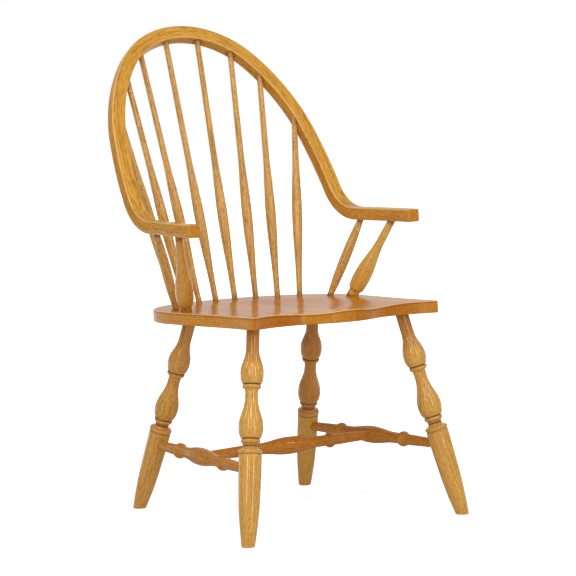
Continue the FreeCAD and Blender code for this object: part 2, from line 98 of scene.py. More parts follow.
# Legs. The turned places are pairs of a radius and a height above the foot along the leg
LEG_FEET = {"front": (264.5, -329.6), "back": (214.5, 196.7)}
LEG_SEATS = {"front": (182.9, -242.9), "back": (155.7, 51.5)}
LEG_TENON_DEPTH = 15.0
LEG_LEVELLED_HEIGHT = 40.0
LEG_FOOT_EDGE = ((12.2, 0.0), (13.1, 0.5), (13.5, 1.6))
LEG_FOOT_RADIUS = 13.4
LEG_SHIN = (21.5, 100.0)
LEG_SHIN_POWER = 1.6
LEG_SHIN_STEPS = 39
LEG_KNEE = (23.2, 182.0)
LEG_GROOVE = (22.0, 183.4)
LEG_COLLAR_ROOT_RADIUS = 22.3
LEG_COLLAR = (24.2, 189.0)
LEG_COVE = (14.4, 200.5)
LEG_LOW_RING = (19.8, 210.5)
LEG_LOW_BULB_FOOT_RADIUS = 17.0
LEG_LOW_BULB = (25.2, 238.5)
LEG_NECK = (13.3, 300.0)
LEG_NECK_FLARE = 1.2
LEG_HIGH_RING = (19.4, 320.0)
LEG_HIGH_BULB_FOOT_RADIUS = 16.4
LEG_HIGH_BULB = (24.0, 347.5)
LEG_TOP_NECK = (13.6, 397.0)
LEG_BEAD_HALF = 4.6

# Stretchers. The turned places are pairs of a radius and a distance from the middle
STRETCHER_HEIGHT_ON_LEG = 152.7
STRETCHER_SWELL_RADIUS = 18.6
STRETCHER_WAIST = (11.9, 76.0)
STRETCHER_BEAD = (16.6, 104.0)
STRETCHER_BEAD_HALF = 8.0
STRETCHER_ARM_RADIUS = 12.2
STRETCHER_END_RADIUS = 10.0
STRETCHER_END_STRAIGHT = 13.0
STRETCHER_TENON_DEPTH = 13.0

# Bow: the back arch leans, bends forward over one radius and runs on as the two arms
BOW_WIDTH = 31.1
BOW_THICKNESS = 27.0
BOW_CORNER = 3.2
BOW_LEAN = 31.78
BOW_STEP = 3.0
BEND_RADIUS = 113.4
ARM_HEIGHT = 619.7
ARM_FRONT = -175.0
ARM_LENGTH = 188.7
ARM_FLARE_ANGLE = 9.26
ARM_FLARE_LENGTH = 72.7
ARM_LEVEL_SHARE = 0.999
HAND_RADIUS = 600.0
HAND_CORNER = 7.0
HAND_RING_GAP = 1.0
HAND_RINGS = (HAND_CORNER, 5.6, 4.3, 3.2, 2.3, 1.5, 0.9, 0.45, 0.15, 0.0)

# Crown, shoulder and side of the arch, by their radius and the angle from the crown where they end
ARCH_END_ANGLE = 88.0
ARCH = ((199.3, 52.51), (418.1, 80.51), (1120.0, ARCH_END_ANGLE))
BEND_ANGLE = radians(90 - BOW_LEAN)
UP_THE_BACK = Vector((0, cos(BEND_ANGLE), sin(BEND_ANGLE)))
BEHIND_THE_BACK = Vector((0, sin(BEND_ANGLE), -cos(BEND_ANGLE)))

# Long spindles. The turned places are pairs of a radius and a height above the seat
SPINDLE_ROW_RADIUS = 249.0
SPINDLE_ROW_BACK = 164.0
SPINDLE_PITCH = 11.25
SPINDLE_BOW_ANGLES = (12.73, 38.58, 58.27, 76.51)
SEAT_TENON_DEPTH = 14.0
SPINDLE_BOW_DEPTH = 18.0
SPINDLE_FOOT = (6.3, 14.0)
SPINDLE_BELLY = (11.3, 192.0)
SPINDLE_NECK = (6.8, 335.0)
SPINDLE_TOP_RADIUS = 6.0
SPINDLE_TOP_STRAIGHT = 18.0

# Short spindle and turned post under each arm, with their places on it back from its tip and inward,
# and turned places as for the long spindles
ARM_SPINDLE_ON_SEAT = (194.5, 41.5)
ARM_SPINDLE_ON_ARM = (180.5, 0.5)
ARM_SPINDLE_END_RADIUS = 6.2
ARM_SPINDLE_BELLY_RADIUS = 10.8
POST_ON_SEAT = (208.5, -22.7)
POST_ON_ARM = (75.7, 4.0)
POST_STUB = (12.4, 17.5)
POST_SHOULDER_RADIUS = 14.6
POST_BEVEL = 0.4
POST_BEVEL_BELOW = 0.6
POST_BEVEL_ABOVE = 0.5
POST_BELLY = (18.8, 48.0)
POST_NECK = (8.9, 146.0)
POST_TOP_RADIUS = 8.1
POST_TOP_STRAIGHT = 14.0
ARM_SOCKET_DEPTH = 14.0

# Pull of the ends of a turned curve along the axis, as shares of its rise
OGEE_LEAVE = 0.40
OGEE_ARRIVE = 0.44
SWELL_ROUND = 0.55

# Play in telling points of an outline apart, in cutting by planes and in placing points of the seat
SAME_POINT = 0.02
CUT_TOLERANCE = 0.0001
SEAT_TOLERANCE = 0.01

UP = Vector((0, 0, 1))
LEFT = Vector((1, 0, 0))
SIDES = (("right", -1), ("left", 1))

# Points in each ring of a turned piece
AROUND = 80

# A direction that no turned piece is parallel to
ASKEW = Vector((0.31, 0.87, 0.12))

# Where the pieces lay in their logs: how far from the pith, how steep to it, and how far along
TURNED_OFF_PITH = (25.0, 90.0)
BOARD_OFF_PITH = (20.0, 75.0)
GRAIN_TILT = 0.03
SPINDLE_GRAIN_TILT = 0.015
LOG_LENGTH = 9000.0
BOW_LOG_PLACE = (4.0, -46.0, 1500.0)
BOW_GRAIN_LEAN = (0.003, 0.002)

# How much darker and redder each piece is: its own tone, and on the stretchers and the back-left leg also
# painted shade under the seat. A value below none leaves it paler; on the back-left leg that is a painted
# lighter shin
PIECE_TONES_AND_SHADE = {
    "leg_back_left": -0.15,
    "leg_back_right": 0.25,
    "side_stretcher_right": 0.75,
    "side_stretcher_left": 0.75,
    "centre_stretcher": 1.0,
    "arm_post_right": 0.35,
    "arm_post_left": -0.35,
}
# Painted shade: the seat's shadow on the back-left leg above its shin, and shade on each leg's neck under
# the seat
UPPER_SHADES = {"leg_back_left": 0.85}
UPPER_SHADE_START = 180.0
UPPER_SHADE_RUN = 30.0
NECK_SHADES = {"leg_back_right": 0.10}
NECK_SHADE = 0.9
NECK_SHADE_START = 358.0
NECK_SHADE_RUN = 40.0
BOARD_STAINS = (0.42, 0.50, -0.10, -0.25, 0.30, 0.25, 0.05)
FRONT_EDGE_STAIN = 0.5
SIDE_EDGE_STAIN = -0.8
ARM_STAIN = 0.30
ARM_STAIN_START = 0.80
ARM_STAIN_RUN = 0.15
# Painted shade on the side faces of the bow and of the arms
BOW_SIDE_SHADE = 0.42
ARM_SIDE_SHADE = 0.30
HAND_END_STAIN = 0.8
HAND_END_BAND = 3.0

# Painted shade, with some staining, that darkens grooves, waists, joints and the bow round its sockets: how
# far away the higher places may be, and how much higher
GROOVE_REACH = 6.0
GROOVE_DEPTH = 1.8
WAIST_REACH = 16.0
WAIST_DEPTH = 9.0
WAIST_SHADE = 0.9
JOINT_REACH = 9.0
SOCKET_SHADE = 0.8
SOCKET_REACH = 9.0
SOCKET_FULL = 1.6

# Lines along the seat's rim: a painted highlight on its edge and a dark line under it
RIM_FLAT_SHARE = 0.97
RIM_HIGHLIGHT = 0.8
RIM_LINE_FULL = 1.3
RIM_LINE_WIDTH = 1.3
RIM_DARK = 0.62
RIM_DARK_DROP = 3.4
GLUE_DARK = 0.30

# Painted highlight along the bow's corners
BOW_HIGHLIGHT = 0.55
BOW_HIGHLIGHT_START = 0.4
BOW_HIGHLIGHT_WIDTH = BOW_CORNER * 0.5
BOW_HIGHLIGHT_FADE = 10.0
BOW_FLAT_TOLERANCE = 0.1


def clamp(value, low=0.0, high=1.0):
    return max(low, min(high, value))


# Outlines of turned pieces as points of radius and height
def arc(start, middle, end, steps):
    """Points on the circle through three places, from the first by the second to the third."""
    a, b, c = (complex(*place) for place in (start, middle, end))
    shape = (c - a) / (b - a)
    centre = a + (b - a) * (shape - abs(shape) ** 2) / (2j * shape.imag)
    first, mid, last = (phase(place - centre) for place in (a, b, c))
    turn = (last - first) % (2 * pi)
    if (mid - first) % (2 * pi) > turn:
        turn -= 2 * pi
    places = [centre + rect(abs(a - centre), first + turn * k / steps) for k in range(steps + 1)]
    return [(place.real, place.imag) for place in places]


def bezier(poles, steps):
    points = []
    for k in range(steps + 1):
        t = k / steps
        rest = [complex(*pole) for pole in poles]
        while len(rest) > 1:
            rest = [p + (q - p) * t for p, q in zip(rest, rest[1:])]
        points.append((rest[0].real, rest[0].imag))
    return points


def line(start, end, steps):
    return bezier([start, end], steps)


def ogee(start, end, steps):
    """An S between two radii that leaves and arrives along the axis."""
    rise = end[1] - start[1]
    leave = (start[0], start[1] + rise * OGEE_LEAVE)
    arrive = (end[0], end[1] - rise * OGEE_ARRIVE)
    return bezier([start, leave, arrive, end], steps)


def swell(start, end, steps):
    """A quarter oval that leaves square to the axis and arrives along it."""
    leave = (start[0] + (end[0] - start[0]) * SWELL_ROUND, start[1])
    arrive = (end[0], end[1] - (end[1] - start[1]) * SWELL_ROUND)
    return bezier([start, leave, arrive, end], steps)


def joined(*runs, gap=SAME_POINT):
    """The points of several runs in one, less any within the gap of the one before."""
    points = []
    for run in runs:
        for point in run:
            if not points or dist(points[-1], point) > gap:
                points.append(point)
    return points


# Meshes
def in_scene(name, data):
    thing = bpy.data.objects.new(name, data)
    bpy.context.scene.collection.objects.link(thing)
    return thing


def new_piece(node, verts, faces, grain, shade_and_dark_lines, stain_and_shade, slot, paint=None, painted_highlight=None, normals=None):
    """The finer form of one solid, with its grain, staining, painted shade, dark lines and painted
    highlights written on its points.
    """
    mesh = bpy.data.meshes.new("oak_" + node)
    mesh.from_pydata([tuple(v * MM for v in p) for p in verts], [], faces)
    mesh.validate()
    mesh.update()
    mesh.shade_smooth()
    layer = mesh.attributes.new("grain", "FLOAT_VECTOR", "POINT")
    layer.data.foreach_set("vector", [c * MM for p in grain for c in p])
    for label, values in (("shade_and_dark_lines", shade_and_dark_lines), ("stain_and_shade", stain_and_shade), ("painted_highlight", painted_highlight or [0.0] * len(verts))):
        layer = mesh.attributes.new(label, "FLOAT", "POINT")
        layer.data.foreach_set("value", values)
    if normals:
        mesh.normals_split_custom_set_from_vertices(normals)
    mesh.materials.append(MATERIALS[paint or slot])
    piece = in_scene("oak_" + node, mesh)
    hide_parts(node)
    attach(piece, "root")


def grain_frame(seed, off_pith, tilt):
    """Where a piece sat in its log, and how much its axis leans in it."""
    rng = random.Random(seed)
    angle = rng.uniform(0, 2 * pi)
    off = rng.uniform(*off_pith)
    lean = (rng.uniform(-tilt, tilt), rng.uniform(-tilt, tilt))
    return (off * cos(angle), off * sin(angle), rng.uniform(0, LOG_LENGTH)), lean


def in_log(x, y, along, place, lean):
    return (x + place[0] + lean[0] * along, y + place[1] + lean[1] * along, along + place[2])


def recess_shade_of(points, joints, reach, depth):
    """How far a ring of an outline lies below those near it, or near a joint, from none to one."""
    values = []
    for radius, height in points:
        highest_before = max(r for r, h in points if height - reach <= h <= height)
        highest_after = max(r for r, h in points if height <= h <= height + reach)
        sunk = clamp((min(highest_before, highest_after) - radius) / depth)
        near = max([0.0] + [1 - abs(height - joint) / JOINT_REACH for joint in joints])
        values.append(max(sunk, clamp(near)))
    return values


def tube_faces(rings, around):
    """Faces round a tube whose rings run counterclockwise as seen from its end, and over both its ends."""
    faces = []
    for ring in range(rings - 1):
        for k in range(around):
            a = ring * around + k
            b = ring * around + (k + 1) % around
            faces.append((a, b, b + around, a + around))
    faces.append(tuple(range(around - 1, -1, -1)))
    last = (rings - 1) * around
    faces.append(tuple(range(last, last + around)))
    return faces


def turned(node, points, foot, head, slot, stain_and_shade, joints, level_foot=False, tilt=GRAIN_TILT, paint=None):
    """A round piece from foot toward head. Its staining with painted shade is one value or one for each
    point, and painted shade is added in its grooves, waists and at its joints.
    """
    axis = (head - foot).normalized()
    side = axis.cross(ASKEW).normalized()
    other = axis.cross(side)
    place, lean = grain_frame(node, TURNED_OFF_PITH, tilt)
    shades = stain_and_shade if isinstance(stain_and_shade, list) else [stain_and_shade] * len(points)
    # Painted shade, with some staining, in grooves and at joints, and wider in waists
    deep = recess_shade_of(points, joints, GROOVE_REACH, GROOVE_DEPTH)
    wide = recess_shade_of(points, (), WAIST_REACH, WAIST_DEPTH)
    verts, grain, shade_and_dark_lines, stain_and_shade_values = [], [], [], []
    for (radius, height), shade, dark, soft in zip(points, shades, deep, wide):
        for k in range(AROUND):
            angle = 2 * pi * k / AROUND
            across = side * cos(angle) + other * sin(angle)
            along = height
            if level_foot:
                start = -radius * across.z / axis.z
                along = height + start * clamp(1 - height / LEG_LEVELLED_HEIGHT)
            verts.append(foot + axis * along + across * radius)
            grain.append(in_log(radius * cos(angle), radius * sin(angle), along, place, lean))
            shade_and_dark_lines.append(dark)
            stain_and_shade_values.append(min(shade + WAIST_SHADE * soft, 1.0))
    new_piece(node, verts, tube_faces(len(points), AROUND), grain, shade_and_dark_lines, stain_and_shade_values, slot, paint)


# Places shared by the pieces
def seat_top(y):
    return SEAT_HEIGHT - (y - SEAT_FRONT_CORNER[1]) * tan(radians(SEAT_SLOPE))


def on_seat(x, y, below=0.0):
    return Vector((x, y, seat_top(y) - below))


def leg_line(which, side):
    """The foot on the floor and the place where the leg enters the seat."""
    foot_x, foot_y = LEG_FEET[which]
    x, y = LEG_SEATS[which]
    return Vector((side * foot_x, foot_y, 0)), on_seat(side * x, y, SEAT_THICKNESS)


def socket_on_leg(which, side):
    foot, entry = leg_line(which, side)
    return foot + (entry - foot).normalized() * STRETCHER_HEIGHT_ON_LEG


def side_stretcher_ends(side):
    """The two ends of a side stretcher, each a tenon's depth inside the face of its leg."""
    front = socket_on_leg("front", side)
    back = socket_on_leg("back", side)
    along = (back - front).normalized()
    inset = LEG_KNEE[0] - STRETCHER_TENON_DEPTH
    return front + along * inset, back - along * inset


def centre_stretcher_ends():
    front, back = side_stretcher_ends(1)
    end = (front + back) / 2 - LEFT * (STRETCHER_SWELL_RADIUS - STRETCHER_TENON_DEPTH)
    return Vector((-end.x, end.y, end.z)), end


def arch_reach(angle):
    """How far the arch's middle line stands from the mirror plane and below the crown at an angle."""
    x = drop = start = 0.0
    for radius, limit in ARCH:
        end = min(angle, radians(limit))
        if end > start:
            x += radius * (sin(end) - sin(start))
            drop += radius * (cos(start) - cos(end))
            start = end
    return x, drop


def crown_place():
    y = ARM_FRONT + ARM_LENGTH + BEND_RADIUS * sin(BEND_ANGLE)
    z = ARM_HEIGHT + BEND_RADIUS * (1 - cos(BEND_ANGLE))
    return Vector((0, y, z)) + UP_THE_BACK * arch_reach(radians(ARCH_END_ANGLE))[1]


def arch_inside(side, from_crown):
    """The middle of the arch's inner face at an angle from the crown."""
    angle = radians(from_crown)
    x, drop = arch_reach(angle)
    outward = LEFT * (side * sin(angle)) + UP_THE_BACK * cos(angle)
    return crown_place() + LEFT * (side * x) - UP_THE_BACK * drop - outward * (BOW_WIDTH / 2)


def hand_end_angle():
    """The angle inward at which the hand's arc reaches the front of the arm."""
    reach = ARM_LENGTH - ARM_FLARE_LENGTH - HAND_RADIUS * sin(radians(ARM_FLARE_ANGLE))
    return degrees(asin(reach / HAND_RADIUS))


def half_bow_path():
    """Places from the crown to the right hand, each with its outward and rearward directions."""
    place, outward, behind = crown_place(), UP_THE_BACK, BEHIND_THE_BACK
    arm_start = asin(cos(radians(ARCH_END_ANGLE)) * cos(BEND_ANGLE))
    flare_radius = ARM_FLARE_LENGTH / (sin(radians(ARM_FLARE_ANGLE)) - sin(arm_start))
    starts = [0.0] + [limit for _, limit in ARCH]
    arcs = [("outward", radius, limit - start) for (radius, limit), start in zip(ARCH, starts)] + [
        ("behind", BEND_RADIUS, 90 - BOW_LEAN),
        ("inward", flare_radius, ARM_FLARE_ANGLE - degrees(arm_start)),
        ("outward", HAND_RADIUS, ARM_FLARE_ANGLE + hand_end_angle()),
    ]
    path = [(0.0, place, outward, behind)]
    run = 0.0
    for facing, radius, bent in arcs:
        onward = outward.cross(behind)
        away = {"outward": outward, "behind": behind, "inward": -outward}[facing]
        centre = place - away * radius
        axis = away.cross(onward)
        length = radius * radians(bent)
        count = max(2, round(length / BOW_STEP))
        for k in range(1, count + 1):
            turn = Matrix.Rotation(radians(bent) * k / count, 3, axis)
            spot = centre + turn @ (place - centre)
            path.append((run + length * k / count, spot, turn @ outward, turn @ behind))
        run += length
        _, place, outward, behind = path[-1]
    return path


def under_arm(side, back, inset):
    """A point under an arm, by its distances back from the tip and in from the middle line."""
    target = ARM_FRONT + back
    path = [p for p in half_bow_path() if p[3].z < -ARM_LEVEL_SHARE]
    for (_, p, outward, behind), (_, q, _, _) in zip(path, path[1:]):
        if q.y <= target <= p.y:
            middle = p.lerp(q, (p.y - target) / (p.y - q.y))
            point = middle + behind * (BOW_THICKNESS / 2) - outward * inset
            return Vector((side * abs(point.x), point.y, point.z))
    raise ValueError("no place on the arm")


# Shader nodes
def cleared_tree(owner):
    owner.use_nodes = True
    owner.node_tree.nodes.clear()
    return owner.node_tree


def add(tree, kind, settings=None, **inputs):
    """A node with its inputs set or linked. An input goes by its name, or by i and its number."""
    node = tree.nodes.new("ShaderNode" + kind)
    for key, value in (settings or {}).items():
        setattr(node, key, value)
    for key, value in inputs.items():
        socket = node.inputs[int(key[1:]) if key[1:].isdigit() else key.replace("_", " ")]
        if isinstance(value, bpy.types.NodeSocket):
            tree.links.new(value, socket)
        else:
            socket.default_value = value
    return node


def maths(tree, operation, first, second=0.0):
    return add(tree, "Math", {"operation": operation}, i0=first, i1=second).outputs[0]


def sum_of(tree, first, second):
    return maths(tree, "ADD", first, second)


def product(tree, first, second):
    return maths(tree, "MULTIPLY", first, second)


def vector_maths(tree, operation, **inputs):
    return add(tree, "VectorMath", {"operation": operation}, **inputs)


def dot(tree, vector, direction):
    return vector_maths(tree, "DOT_PRODUCT", i0=vector, i1=direction).outputs["Value"]


def attribute(tree, name, output="Fac"):
    return add(tree, "Attribute", {"attribute_name": name}).outputs[output]


def grain_noise(tree, grain, across, along, detail=2.0, rough=0.5):
    """Noise stretched along the grain, by its waves across and along it."""
    stretched = vector_maths(tree, "MULTIPLY", i0=grain, i1=(across, across, along)).outputs[0]
    node = add(tree, "TexNoise", Vector=stretched, Scale=1.0, Detail=detail, Roughness=rough)
    return node.outputs["Fac"]


def ramp(tree, fac, stops):
    node = add(tree, "ValToRGB", Fac=fac)
    elements = node.color_ramp.elements
    while len(elements) < len(stops):
        elements.new(1.0)
    for element, (position, value) in zip(elements, stops):
        element.position = position
        element.color = (value, value, value, 1.0)
    return node.outputs["Color"]


def mix(tree, fac, first, second, blend="MIX", clamped=True):
    settings = {"data_type": "RGBA", "blend_type": blend, "clamp_factor": clamped}
    return add(tree, "Mix", settings, i0=fac, i6=first, i7=second).outputs[2]


def remap(tree, value, band, new_band=(0.0, 1.0)):
    low, high = band
    new_low, new_high = new_band
    node = add(tree, "MapRange", Value=value, From_Min=low, From_Max=high, To_Min=new_low, To_Max=new_high)
    return node.outputs["Result"]


# Oak. Waves are counted in a metre across the grain and along it, a band is the range of a noise that
# counts, a ring's sway is its depth in metres and its waves, and the rest are shares
RING_SWAYS = ((0.020, 22, 3.2), (0.0035, 60, 14))
FIBRE_WAVES = (640, 22)
STREAK_WAVES = (150, 5)
CLOUD_WAVES = (26, 6)
PORE_WAVES = (1500, 95)
EARLY_WOOD = ((0.0, 1.0), (0.10, 0.9), (0.42, 0.12), (0.86, 0.0), (1.0, 1.0))
FIBRE_BAND = (0.35, 0.68)
FIBRE_TONES = (-0.28, 0.34)
STREAK_TONES = (-0.14, 0.20)
CLOUD_BAND = (0.3, 0.7)
CLOUD_TONES = (-0.14, 0.16)
PORE_BAND = (0.56, 0.66)
PORE_IN_LATE_WOOD = 0.30
PORE_DARK = 0.70
FLECK_BAND = (0.50, 0.66)
FLECK_IN_LATE_WOOD = 0.65
FLECK_DARK = 0.56
FIBRE_RELIEF = 0.25
BUMP_STRENGTH = 0.6
BUMP_DEPTH = 0.00015
WOOD_ROUGHNESS = 0.5
WOOD_IOR = 1.45
STAIN_AND_SHADE_TINT = (0.80, 0.62, 0.48, 1.0)
PAINTED_HIGHLIGHT_COLOUR = (0.95, 0.68, 0.30, 1.0)
SHADE_AND_LINE_COLOUR = (0.13, 0.038, 0.008, 1.0)
SHADE_AND_LINE_DARK = 0.88


def early_wood(tree, grain, ring):
    """One in the open early wood of each growth ring, and none in its dense late wood."""
    split = add(tree, "SeparateXYZ", Vector=grain)
    x, y = split.outputs["X"], split.outputs["Y"]
    radius = maths(tree, "SQRT", sum_of(tree, product(tree, x, x), product(tree, y, y)))
    for depth, across, along in RING_SWAYS:
        sway = maths(tree, "SUBTRACT", grain_noise(tree, grain, across, along), 0.5)
        radius = sum_of(tree, radius, product(tree, sway, depth))
    return ramp(tree, maths(tree, "FRACT", maths(tree, "DIVIDE", radius, ring)), EARLY_WOOD)


def oak_wood(tree, grain, pale, deep, pore, grit, ring, ring_depth, flecks):
    """The bare wood's colour and relief: rings, fibres, streaks, clouds, pores and flecks."""
    early = early_wood(tree, grain, ring)
    fibre = grain_noise(tree, grain, *FIBRE_WAVES, detail=3.0, rough=0.65)
    streak = grain_noise(tree, grain, *STREAK_WAVES)
    cloud = grain_noise(tree, grain, *CLOUD_WAVES, detail=3.0)
    fibre_tones = tuple(tone * grit for tone in FIBRE_TONES)
    tone = product(tree, early, ring_depth)
    tone = sum_of(tree, tone, remap(tree, fibre, FIBRE_BAND, fibre_tones))
    tone = sum_of(tree, tone, remap(tree, streak, FIBRE_BAND, STREAK_TONES))
    tone = sum_of(tree, tone, remap(tree, cloud, CLOUD_BAND, CLOUD_TONES))
    colour = mix(tree, add(tree, "Clamp", Value=tone).outputs[0], (*pale, 1.0), (*deep, 1.0))
    fleck = remap(tree, grain_noise(tree, grain, *flecks, rough=0.6), FLECK_BAND)
    fleck = product(tree, fleck, remap(tree, early, (0.0, 1.0), (FLECK_IN_LATE_WOOD, 1.0)))
    colour = mix(tree, product(tree, fleck, FLECK_DARK * grit), colour, (*pore, 1.0))
    hole = remap(tree, grain_noise(tree, grain, *PORE_WAVES, rough=0.55), PORE_BAND)
    hole = product(tree, hole, remap(tree, early, (0.0, 1.0), (PORE_IN_LATE_WOOD, 1.0)))
    colour = mix(tree, product(tree, hole, PORE_DARK), colour, (*pore, 1.0))
    return colour, maths(tree, "SUBTRACT", product(tree, fibre, FIBRE_RELIEF), hole)


def oak(name, pale, deep, pore, grit, ring=0.0030, ring_depth=0.42, coat=0.6, coat_rough=0.07,
        coat_ior=1.5, flecks=(560, 150)):
    """Lacquered oak with its piece's staining and painted shade, pale with painted highlights along edges,
    and dark with painted shade in its grooves and with dark glue lines.
    """
    material = bpy.data.materials.new(name)
    tree = cleared_tree(material)
    grain = attribute(tree, "grain", "Vector")
    body, relief = oak_wood(tree, grain, pale, deep, pore, grit, ring, ring_depth, flecks)
    # Staining, with painted shade, darkens and reddens the wood
    body = mix(tree, attribute(tree, "stain_and_shade"), body, STAIN_AND_SHADE_TINT, "MULTIPLY", clamped=False)
    # Painted highlight along edges
    body = mix(tree, attribute(tree, "painted_highlight"), body, PAINTED_HIGHLIGHT_COLOUR)
    # Painted shade in grooves, at joints and round sockets, and dark glue and rim lines
    body = mix(tree, product(tree, attribute(tree, "shade_and_dark_lines"), SHADE_AND_LINE_DARK), body, SHADE_AND_LINE_COLOUR)
    bump = add(tree, "Bump", Strength=BUMP_STRENGTH, Distance=BUMP_DEPTH, Height=relief)
    shader = add(
        tree, "BsdfPrincipled", Base_Color=body, Normal=bump.outputs["Normal"], Roughness=WOOD_ROUGHNESS,
        IOR=WOOD_IOR, Specular_IOR_Level=0.0, Coat_Weight=coat, Coat_Roughness=coat_rough,
        Coat_IOR=coat_ior,
    )
    add(tree, "OutputMaterial", Surface=shader.outputs["BSDF"])
    return material


MATERIALS = {
    "oak_bow": oak(
        "bow oak", pale=(0.755, 0.385, 0.057), deep=(0.41, 0.150, 0.013), pore=(0.20, 0.064, 0.008),
        grit=1.15, ring_depth=0.36, coat=0.45, coat_ior=1.4, flecks=(520, 60),
    ),
    "oak_turned": oak(
        "turned oak", pale=(0.73, 0.385, 0.066), deep=(0.42, 0.168, 0.018), pore=(0.22, 0.074, 0.010),
        grit=1.0, ring_depth=0.26, coat=1.0, coat_rough=0.05, flecks=(640, 130),
    ),
    "oak_stretcher": oak(
        "stretcher oak", pale=(0.74, 0.370, 0.060), deep=(0.40, 0.150, 0.016), pore=(0.19, 0.062, 0.010),
        grit=1.0, ring_depth=0.30, coat_ior=1.4, flecks=(560, 90),
    ),
    "oak_spindle": oak(
        "spindle oak", pale=(0.78, 0.440, 0.115), deep=(0.42, 0.180, 0.032), pore=(0.19, 0.066, 0.014),
        grit=1.4,
    ),
    "oak_seat": oak(
        "seat oak", pale=(0.66, 0.262, 0.018), deep=(0.36, 0.108, 0.007), pore=(0.13, 0.038, 0.004),
        grit=1.1, ring=0.0042, coat=0.62, coat_rough=0.20, coat_ior=1.4,
    ),
}


# Legs
def shin_points():
    """The tapered shin, which swells quickly from the foot and slowly up to the knee."""
    shin_radius, shin_height = LEG_SHIN
    knee_radius, knee_height = LEG_KNEE
    points = list(LEG_FOOT_EDGE)
    lowest = points[-1][1]
    for k in range(1, LEG_SHIN_STEPS + 1):
        height = lowest + k / LEG_SHIN_STEPS * (knee_height - lowest)
        if height > shin_height:
            left = 1 - (height - shin_height) / (knee_height - shin_height)
            radius = shin_radius + (knee_radius - shin_radius) * (1 - left ** 2)
        else:
            left = 1 - height / shin_height
            radius = LEG_FOOT_RADIUS + (shin_radius - LEG_FOOT_RADIUS) * (1 - left ** LEG_SHIN_POWER)
        points.append((radius, height))
    return points


def leg_points(top):
    """From the foot up: shin, collar, cove, low ring, low bulb, neck, high ring, high bulb and tenon."""
    collar_root = (LEG_COLLAR_ROOT_RADIUS, LEG_COLLAR[1] - LEG_BEAD_HALF)
    collar_side = ((LEG_COVE[0] + LEG_COLLAR[0]) / 2, LEG_COLLAR[1] + LEG_BEAD_HALF)
    cove_side = ((LEG_COVE[0] + LEG_LOW_RING[0]) / 2, LEG_LOW_RING[1] - LEG_BEAD_HALF)
    low_bulb_foot = (LEG_LOW_BULB_FOOT_RADIUS, LEG_LOW_RING[1] + LEG_BEAD_HALF)
    neck_side = (LEG_NECK[0] + LEG_NECK_FLARE, LEG_HIGH_RING[1] - LEG_BEAD_HALF)
    neck_pull = (LEG_NECK[0], neck_side[1] - LEG_BEAD_HALF)
    high_bulb_foot = (LEG_HIGH_BULB_FOOT_RADIUS, LEG_HIGH_RING[1] + LEG_BEAD_HALF)
    return joined(
        shin_points(),
        line(LEG_KNEE, LEG_GROOVE, steps=3),
        line(LEG_GROOVE, collar_root, steps=2),
        arc(collar_root, LEG_COLLAR, collar_side, steps=14),
        arc(collar_side, LEG_COVE, cove_side, steps=16),
        arc(cove_side, LEG_LOW_RING, low_bulb_foot, steps=14),
        swell(low_bulb_foot, LEG_LOW_BULB, steps=22),
        ogee(LEG_LOW_BULB, LEG_NECK, steps=30),
        bezier([LEG_NECK, neck_pull, neck_side], steps=10),
        arc(neck_side, LEG_HIGH_RING, high_bulb_foot, steps=14),
        swell(high_bulb_foot, LEG_HIGH_BULB, steps=22),
        ogee(LEG_HIGH_BULB, LEG_TOP_NECK, steps=28),
        line(LEG_TOP_NECK, (LEG_TOP_NECK[0], top), steps=8),
    )


def leg_stain_and_shade(node, height):
    """How dark and red a leg is at a height: its own tone, with painted shade on the neck under the seat
    and, on the back-left leg, painted shadow of the seat above its shin.
    """
    neck = NECK_SHADES.get(node, NECK_SHADE) * clamp((height - NECK_SHADE_START) / NECK_SHADE_RUN)
    upper = UPPER_SHADES.get(node, 0.0) * clamp((height - UPPER_SHADE_START) / UPPER_SHADE_RUN)
    return PIECE_TONES_AND_SHADE.get(node, 0.0) + neck + upper


def make_leg(which, side_name, side):
    foot, entry = leg_line(which, side)
    node = f"leg_{which}_{side_name}"
    shown = (entry - foot).length
    points = leg_points(shown + LEG_TENON_DEPTH)
    stain_and_shade_values = [leg_stain_and_shade(node, height) for _, height in points]
    turned(node, points, foot, entry, "oak_turned", stain_and_shade_values, (shown,), level_foot=True)


# Stretchers
def stretcher_points(length):
    """Half a stretcher, from its end to the swell in its middle, and the same turned round."""
    half = length / 2
    end = (STRETCHER_END_RADIUS, STRETCHER_TENON_DEPTH + STRETCHER_END_STRAIGHT)
    bead = (STRETCHER_BEAD[0], half - STRETCHER_BEAD[1])
    bead_out = (STRETCHER_ARM_RADIUS, bead[1] - STRETCHER_BEAD_HALF)
    bead_in = (STRETCHER_ARM_RADIUS, bead[1] + STRETCHER_BEAD_HALF)
    waist = (STRETCHER_WAIST[0], half - STRETCHER_WAIST[1])
    waist_pull = (STRETCHER_WAIST[0], bead_in[1] + STRETCHER_BEAD_HALF / 2)
    first = joined(
        line((STRETCHER_END_RADIUS, 0.0), end, steps=3),
        line(end, bead_out, steps=10),
        arc(bead_out, bead, bead_in, steps=14),
        bezier([bead_in, waist_pull, waist], steps=8),
        ogee(waist, (STRETCHER_SWELL_RADIUS, half), steps=26),
    )
    return first + [(radius, length - height) for radius, height in reversed(first[:-1])]


def make_stretcher(node, start, end):
    points = stretcher_points((end - start).length)
    turned(node, points, start, end, "oak_turned", PIECE_TONES_AND_SHADE[node], (), paint="oak_stretcher")


# Spindles and posts
def from_tenon(place):
    """A turned place above the seat, measured from the bottom of the tenon below."""
    return place[0], place[1] + SEAT_TENON_DEPTH


